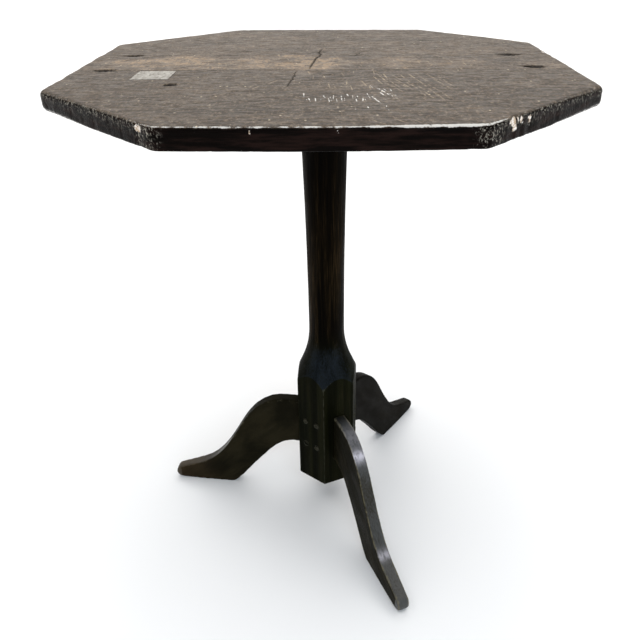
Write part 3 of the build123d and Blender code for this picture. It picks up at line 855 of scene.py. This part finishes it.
def upper_face(flat, seed, sides, outer_sides):
    """A board's upper face: its vertices, what they carry, and the fields that shape its sides."""
    # The arrises: generous and uneven outside, small at the seams, and largest towards the left
    # and right ends, where hands have rounded the top off.
    d_outer, n_outer = edge_field(flat, outer_sides)
    d_seam, n_seam = edge_field(flat, seam_sides(sides, outer_sides))
    uneven = value_noise(flat, 40, seed) + 0.9 * value_noise(flat, 11, seed)
    ends = smoothstep(0.22, 0.31, np.abs(flat[:, 0]))
    chips = chip_shape(flat, seed + CHIP_SEED)
    front = smoothstep(0.19, 0.14, np.abs(flat[:, 0])) * (flat[:, 1] < -0.2)
    gloss_and_highlight = front * smoothstep(0.02, 0.10, flat[:, 0])
    radius = 3.8 + 1.1 * uneven + 3.2 * ends + 2.0 * chips + 1.6 * gloss_and_highlight
    radius = np.clip(radius, 2.4, 9.8) * MM
    seam_radius = np.clip(0.9 + 0.3 * uneven, 0.5, 1.3) * MM
    outer_drop = arris_drop(d_outer, radius)
    seam_drop = arris_drop(d_seam, seam_radius)

    # The upper face always lies below the CAD's.
    relief = upper_relief(flat, seed, np.minimum(d_outer, d_seam))
    crumble = np.abs(value_noise(flat, 2.6, seed + 6)) * 0.5 * MM
    broken = np.exp(-d_outer / (5 * MM)) * (crumble * 0.5 + chips * (1.6 * MM + crumble))
    hollow = hollow_shape(flat)
    crack = crack_shape(flat)
    white, tan = stroke_shape(flat, True), stroke_shape(flat, False)
    scratch = (0.35 * white + 0.2 * tan) * MM
    z = TOP_Z - np.maximum(outer_drop, seam_drop) - relief - broken
    z = z - HOLLOW_DEPTH * hollow - crack - scratch

    # The outline was sawn by hand, so the outer side wanders inwards a little.
    wander = 0.25 * (1 + value_noise(flat, 90, seed + 4)) + 0.8 * chips
    wander += 0.04 * (1 + value_noise(flat, 6, seed + 4))
    moved = flat + n_outer * (wander * MM * np.exp(-d_outer / (7 * MM)))[:, None]

    turned = outer_drop / radius
    edge_line = smoothstep(0.01, 0.10, turned) * smoothstep(0.60, 0.25, turned)
    seam_turned = smoothstep(0.3, 0.8, seam_drop / seam_radius)
    field = {"side": np.maximum(smoothstep(0.20, 0.50, turned), 0.8 * seam_turned),
             "wear": arris_wear_and_highlight(flat, seed, front, gloss_and_highlight, edge_line),
             "chip": chips * smoothstep(12 * MM, 5 * MM, d_outer),
             "gloss": gloss_and_highlight * smoothstep(0.05, 0.4, turned),
             "crackle": crackle_shape(flat, turned),
             "hollow": hollow * 2.2 + crack / MM * 1.8, "nick": white, "saw": tan}
    return np.column_stack([moved, z]), field, (d_outer, n_outer, d_seam, n_seam, uneven, ends, gloss_and_highlight)


def side_rings(edge, names, seed, shaping):
    """Ring by ring, the vertices of a board's sides and lower arris, and what they carry.

    edge is the upper face's outline, and shaping is the last thing that upper_face gives.
    """
    count = len(edge)
    d_outer, n_outer, d_seam, n_seam, uneven, ends, gloss_and_highlight = [field[:count] for field in shaping]
    edge_xy = edge[:, :2]
    near_outside = np.exp(-d_outer / (6 * MM))
    on_outside = d_outer < 0.5 * MM
    diagonal = smoothstep(0.15, 0.19, np.abs(edge_xy[:, 0]))
    diagonal *= 0.4 + 0.6 * smoothstep(0.05, -0.05, edge_xy[:, 1])
    # The lower arris is small at the seams and wide at the ends.
    lower = np.clip(2.2 + 0.5 * uneven + 5.5 * ends, 1.5, 8.5) * MM
    lower_height = lower * near_outside + SEAM_LOWER * (1 - near_outside)
    levels = wall_levels(edge[:, 2], lower_height)
    for k, (ring_z, share) in enumerate(levels):
        places = np.column_stack([edge_xy, ring_z])
        ripple = 0.20 * (1 + value_noise(places, (22, 22, 5), seed))
        ripple += 0.9 * smoothstep(0.5, 0.9, value_noise(places, (7, 7, 4), seed + 9))
        ripple = ripple * MM * near_outside
        moved = edge_xy + n_outer * inset(lower * share + ripple, d_outer)
        moved = moved + n_seam * inset(SEAM_LOWER * share, d_seam)
        down = (k + 1) / len(levels)
        # On the diagonals the lower arris gets a painted highlight through wear.
        field = {**unmarked_side(names, count),
                 "wear": LOWER_HIGHLIGHT * (k in HIGHLIGHT_RINGS) * diagonal * on_outside,
                 "chip": chip_shape(places, seed + CHIP_SEED, down),
                 "gloss": gloss_and_highlight * max(1 - 7 * down, 0),
                 "crackle": crackle_shape(edge_xy, 1 + down)}
        yield np.column_stack([moved, ring_z]), field


def plank(node, seed, rub_level, outer_sides):
    """One board of the top as a closed mesh with worn arrises, relief, hollows and cracks."""
    hull = corners_of(node)
    outline, bulged = outline_of(hull)
    sides = sides_of(hull)
    count = len(outline)
    flat = face_points(hull, outline, sides, seed)
    faces = triangulate(flat, count)
    upper, field, shaping = upper_face(flat, seed, sides, outer_sides)
    vertices, fields = [upper], [field]
    start, total = 0, len(flat)
    for ring, field in side_rings(upper[:count], field, seed, shaping):
        vertices.append(ring)
        fields.append(field)
        for i in range(count):
            j = (i + 1) % count
            faces.append([total + i, total + j, start + j, start + i])
        start, total = total, total + count

    # Underside: a coarse planed surface. Its faces are found on the unmoved outline.
    under = inner(rough_grid(hull, 4, 6), sides, 14 * MM)
    planed = 0.2 * MM * (1 + value_noise(under, (90, 14), seed + 3))
    vertices.append(np.column_stack([under, UNDERSIDE_Z + planed]))
    fields.append(unmarked_side(field, len(under)))
    for face in triangulate(np.concatenate([bulged, under]), count):
        faces.append([start + i if i < count else total + i - count for i in reversed(face)])

    vertices = np.concatenate(vertices)
    piece = new_object(node.replace("plank", "board"), vertices, faces)
    mesh = piece.data
    joined = {name: np.concatenate([field[name] for field in fields]) for name in field}
    for name, values in joined.items():
        paint(mesh, name, np.clip(values, 0, 1))
    paint(mesh, "rub", tan_areas(vertices[:, :2], seed, rub_level))
    paint(mesh, "grain_co", vertices + (seed * 1.7, seed * 0.9, 0))
    finish_piece(piece, "top", "painted_top", node, TOP_PAINT, UNDERSIDE_WOOD, SIDE_PAINT)
    under_faces = np.array([p.normal.z < -0.9 for p in mesh.polygons])
    side_faces = face_means(mesh, joined["side"]) > 0.5
    mesh.polygons.foreach_set("material_index", np.where(under_faces, 1, 2 * side_faces))


# Each plank's seed, and how far its paint is rubbed down.
PLANKS = {"top_plank_back": (3, 0.18), "top_plank_middle": (11, 0.40), "top_plank_front": (23, 0.06)}
OUTER_SIDES = sides_of(corners_of(*PLANKS))
for node, (seed, rub_level) in PLANKS.items():
    plank(node, seed, rub_level, OUTER_SIDES)


# ---- paper label ----

def paper_remnant():
    """A thin torn square with a slightly uneven face."""
    low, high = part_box("paper_label")
    steps = 36
    flat = grid_points(*[np.linspace(0, 1, steps)] * 2)
    xy = np.array([low.x, low.y]) + flat * (high.x - low.x, high.y - low.y)
    edge = np.minimum(flat, 1 - flat).min(axis=1)
    torn = value_noise(xy, 5, 4.0)
    centre = xy.mean(0)
    pull = smoothstep(0.12, 0, edge) * (0.5 + 0.5 * torn) * 0.05
    xy = xy + (centre - xy) * pull[:, None]
    lift = 0.05 + 0.20 * (0.5 + 0.5 * value_noise(xy, 9))
    top = np.column_stack([xy, low.z + lift * MM])
    bottom = np.column_stack([xy, np.full(len(xy), low.z - 0.5 * MM)])
    faces = []
    for i, j in product(range(steps - 1), repeat=2):
        a = i * steps + j
        quad = [a, a + 1, a + steps + 1, a + steps]
        faces.append(quad)
        faces.append([q + steps * steps for q in reversed(quad)])
    rim = [*range(steps), *range(2 * steps - 1, steps * steps, steps),
           *range(steps * steps - 2, steps * (steps - 1) - 1, -1),
           *range(steps * (steps - 2), 0, -steps)]
    for a, b in zip(rim, rim[1:] + rim[:1]):
        faces.append([a + steps * steps, b + steps * steps, b, a])
    piece = new_object("label_remnant", np.concatenate([top, bottom]), faces)
    finish_piece(piece, "top", "label_paper", "paper_label", PAPER)


paper_remnant()


# ---- worn copies of the turned and sawn pieces ----

# Each smoothing round moves vertices towards their neighbours and most of the way back again,
# which rounds arrises off without making the piece thinner.
SMOOTH_IN = 0.75
SMOOTH_OUT = -0.52
TOE_REACH = (0.225, 0.262)
TOE_ROUNDS = 26
LEG_SLOPE = -42
# The order of the axes that puts the one along the grain first.
ALONG_X, ALONG_Y, ALONG_Z = (0, 1, 2), (1, 0, 2), (2, 0, 1)


def worn_copy(node, material, slot, grain, voxel=1.5, smooth=4, wander=0.15, ripple=0.06,
              inward=0.0, arris=1.0, grime=0.0, seed=1):
    """A remeshed copy of a CAD node with softened arrises and a slightly uneven surface.

    grain is an order of the axes, or turns places into ones with the grain along the first axis.
    inward sets the surface in, in millimetres, arris is how far the paint has worn off the
    arrises, and grime is a painted shade that darkens the whole piece, on top of the darkening in
    its inside corners.
    """
    source = frame["nodes"][node]
    mesh = source.data.copy()
    mesh.name = node + "_worn"
    piece = in_scene(node + "_worn", mesh)
    mesh.materials.clear()
    welded = bmesh.new()
    welded.from_mesh(mesh)
    bmesh.ops.remove_doubles(welded, verts=welded.verts, dist=1e-6)
    welded.to_mesh(mesh)
    welded.free()
    remesh = piece.modifiers.new("remesh", "REMESH")
    remesh.mode = "VOXEL"
    remesh.voxel_size = voxel * MM
    bpy.context.view_layer.update()
    depsgraph = bpy.context.evaluated_depsgraph_get()
    made = bpy.data.meshes.new_from_object(piece.evaluated_get(depsgraph))
    piece.modifiers.clear()
    piece.data = made
    made.name = node + "_worn"
    bpy.data.meshes.remove(mesh)
    low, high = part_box(node)
    co = vectors(made)
    for _ in range(smooth):
        for amount in (SMOOTH_IN, SMOOTH_OUT):
            co = co + (neighbour_mean(made, co) - co) * amount
    if node.startswith("leg"):
        toe = 0.5 * smoothstep(*TOE_REACH, np.hypot(co[:, 0], co[:, 1]))[:, None]
        for _ in range(TOE_ROUNDS):
            co = co + (neighbour_mean(made, co) - co) * toe
    set_coordinates(made, co)
    edge = convexity(made, 0.15 * voxel * MM)
    places = grain(co) if callable(grain) else co[:, grain]
    uneven = value_noise(places, (60, 22, 22), seed)
    fine = value_noise(places, (30, 1.9, 1.9), seed + 5)
    push = wander * uneven + ripple * fine - inward
    co = co + vectors(made, "normal") * (push * MM)[:, None]
    co = np.clip(co, np.array(low), np.array(high))
    set_coordinates(made, co)
    made.polygons.foreach_set("use_smooth", [True] * len(made.polygons))
    paint(made, "wear", arris * smoothstep(0.25, 0.95, edge))
    # hollow darkens the inside corners, and grime adds a painted shade over the whole piece.
    paint(made, "hollow", np.maximum(smoothstep(0.3, 0.95, -edge), grime))
    paint(made, "grain_co", places + seed * 1.3)
    finish_piece(piece, source["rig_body"], slot, node, material)
    return piece


def leg_grain(azimuth):
    """Grain along a leg, which slopes down outwards."""
    a, slope = math.radians(azimuth), math.radians(LEG_SLOPE)

    def turned(co):
        x, y, z = co.T
        out = x * math.sin(a) - y * math.cos(a)
        across = x * math.cos(a) + y * math.sin(a)
        along = out * math.cos(slope) + z * math.sin(slope)
        up = z * math.cos(slope) - out * math.sin(slope)
        return np.column_stack([along, across, up])

    return turned


column = worn_copy("column", COLUMN_PAINT, "painted_column", ALONG_Z, voxel=1.3, wander=0.20,
                   ripple=0.12, inward=0.35, seed=2)
column_co = vectors(column.data)
facing = vectors(column.data, "normal")
# Painted reflection: the flare's upward faces, most of all those towards the front, get the bluish rubbed
# colour through rub.
flare = smoothstep(FLARE_TOP, FLARE_FOOT, column_co[:, 2]) * smoothstep(0.04, 0.20, facing[:, 2])
paint(column.data, "rub", flare * (0.30 + 0.40 * smoothstep(0.4, 0.9, -facing[:, 1])))

# How far each leg's upward faces are rubbed, paint rubbed by use with a painted sheen over it, is given
# at these distances from the column's axis.
RUB_PLACES = (0.045, 0.085, 0.108, 0.140, 0.200)
# Each leg's direction in degrees, how far its arrises are worn, its grime, a painted shade that darkens
# the whole leg, and those rubs.
LEGS = {
    "front": (24.4, 0.85, 0.0, (0.45, 1.10, 1.10, 0.70, 0.75)),
    "left": (-95.6, 0.55, 0.0, (0.05, 0.10, 0.15, 0.25, 0.35)),
    "back": (144.4, 0.35, 0.8, (0.02, 0.05, 0.05, 0.10, 0.25)),
}
# The front leg's painted glints, pale spots that stand for highlights: distance from the axis, size and
# strength.
PAINTED_GLINTS = ((0.119, 0.006, 1.0), (0.094, 0.018, 0.22), (0.206, 0.006, 0.5))
for name, (azimuth, arris, grime, rubs) in LEGS.items():
    leg = worn_copy(f"leg_{name}", LEG_PAINT, "painted_legs", leg_grain(azimuth), voxel=1.3, smooth=14,
                    wander=0.45, ripple=0.08, arris=arris, grime=grime, seed=31 + azimuth / 24)
    leg_co = vectors(leg.data)
    reach = np.hypot(leg_co[:, 0], leg_co[:, 1])
    facing_up = smoothstep(0.30, 0.60, vectors(leg.data, "normal")[:, 2] + (reach > 0.26))
    rub = np.interp(reach, RUB_PLACES, rubs) * facing_up
    paint(leg.data, "rub", rub)
    leg.data.materials.append(RUBBED_LEG_PAINT)
    leg.data.polygons.foreach_set("material_index", (face_means(leg.data, rub) > 0.25).astype(int))
    if name == "left":
        paint(leg.data, "scuffed", smoothstep(0.17, 0.27, reach))
    if name == "front":
        spots = sum(amount * np.exp(-((reach - middle) / size) ** 2) for middle, size, amount in PAINTED_GLINTS)
        paint(leg.data, "painted_glint", spots * facing_up)

for side in ("left", "right"):
    worn_copy(f"batten_{side}", UNDERSIDE_WOOD, "underside_wood", ALONG_Y, voxel=2.0, seed=5)
    worn_copy(f"pivot_pin_{side}", RAW_WOOD, "bare_wood", ALONG_X, voxel=0.8, wander=0.0,
              ripple=0.02, seed=6)
for node, voxel, wander, seed in (("pivot_block", 1.6, 0.15, 7), ("latch_cleat", 1.0, 0.15, 8),
                                  ("latch_button", 0.8, 0.08, 9)):
    worn_copy(node, UNDERSIDE_WOOD, "underside_wood", ALONG_X, voxel=voxel, wander=wander, seed=seed)
worn_copy("tenon_wedge", RAW_WOOD, "bare_wood", ALONG_Z, voxel=0.5, wander=0.02, seed=10)
for name, level in product(LEGS, ("upper", "lower")):
    worn_copy(f"{name}_leg_peg_{level}", PEG_WOOD, "peg_wood", ALONG_X, voxel=0.5, smooth=2,
              wander=0.05, ripple=0.03, seed=12 + LEGS[name][0] / 24)

for material, nodes in ((RAW_WOOD, ("seam_dowels_back", "seam_dowels_front")),
                        (IRON, ("batten_screws_left", "batten_screws_right", "latch_cleat_screws",
                                "latch_screw"))):
    for node in nodes:
        kept = frame["nodes"][node].data.materials
        kept.clear()
        kept.append(material)

# ---- floor, light and camera ----

HALF_FLOOR = 30.0


def floor():
    """A plain pale floor."""
    corners = [(x * HALF_FLOOR, y * HALF_FLOOR, 0) for x, y in ((-1, -1), (1, -1), (1, 1), (-1, 1))]
    piece = new_object("floor", corners, [(0, 1, 2, 3)])
    s = Shader("pale_floor")
    place = s.place()
    mottle = s.noise(place, 3, 3)
    s.colour = s.mix(mottle, (0.86, 0.86, 0.86), (0.88, 0.88, 0.88))
    s.bump(mottle, 0.0001)
    piece.data.materials.append(s.finish(0.8, specular=0.1))


def area_light(name, place, target, size, radiance, colour):
    """A soft rectangular light that faces its target, as bright as radiance seen face on."""
    data = bpy.data.lights.new(name, "AREA")
    data.shape = "RECTANGLE"
    data.size, data.size_y = size
    data.energy = radiance * math.pi * size[0] * size[1]
    data.color = colour
    lamp = in_scene(name, data)
    lamp.location = place
    aim = Vector(target) - Vector(place)
    lamp.rotation_euler = aim.to_track_quat("-Z", "Y").to_euler()


def sky_light(strength, angle, tilt):
    """A very soft light from above that reaches the whole floor evenly."""
    data = bpy.data.lights.new("sky", "SUN")
    data.energy = strength
    data.angle = math.radians(angle)
    in_scene("sky", data).rotation_euler = (math.radians(tilt), 0, 0)


floor()
sky_light(2.6, 75, -12)
area_light("backdrop", (0.0, 5.0, 1.6), (0, 0, 0.7), (8.0, 2.8), 0.75, (1.0, 0.92, 0.83))
area_light("window", (1.1, -3.0, 1.35), (0, 0, 0.45), (2.6, 1.3), 1.6, (0.62, 0.80, 1.0))
area_light("strip", (0.35, -2.2, 2.4), (0, -0.2, 0.7), (1.7, 0.22), 14.0, (0.76, 0.88, 1.0))

world = bpy.data.worlds.new("studio")
world.use_nodes = True
backdrop = world.node_tree.nodes["Background"].inputs
backdrop["Color"].default_value = (1.0, 0.99, 0.975, 1)
backdrop["Strength"].default_value = 0.50
bpy.context.scene.world = world
bpy.context.scene.view_settings.view_transform = "Standard"

CAMERA_PLACE = (0.0218, -0.9039, 0.8884)
CAMERA_PITCH, CAMERA_YAW, CAMERA_ROLL = map(math.radians, (26.48, -1.92, -0.92))
CAMERA_LENS = 38.85
CAMERA_SHIFT = -0.09375


def camera():
    """The view: slightly above the top, level with its near edge."""
    data = bpy.data.cameras.new("camera")
    data.sensor_width = 36
    data.lens = CAMERA_LENS
    data.shift_y = CAMERA_SHIFT
    data.clip_end = 200
    look = in_scene("camera", data)
    forward = Vector((math.sin(CAMERA_YAW) * math.cos(CAMERA_PITCH),
                      math.cos(CAMERA_YAW) * math.cos(CAMERA_PITCH), -math.sin(CAMERA_PITCH)))
    level = Vector((math.cos(CAMERA_YAW), -math.sin(CAMERA_YAW), 0))
    upright = level.cross(forward)
    c, s = math.cos(CAMERA_ROLL), math.sin(CAMERA_ROLL)
    right = c * level + s * upright
    up = c * upright - s * level
    axes = Matrix((right, up, -forward)).transposed()
    look.matrix_world = Matrix.Translation(CAMERA_PLACE) @ axes.to_4x4()
    bpy.context.scene.camera = look


camera()
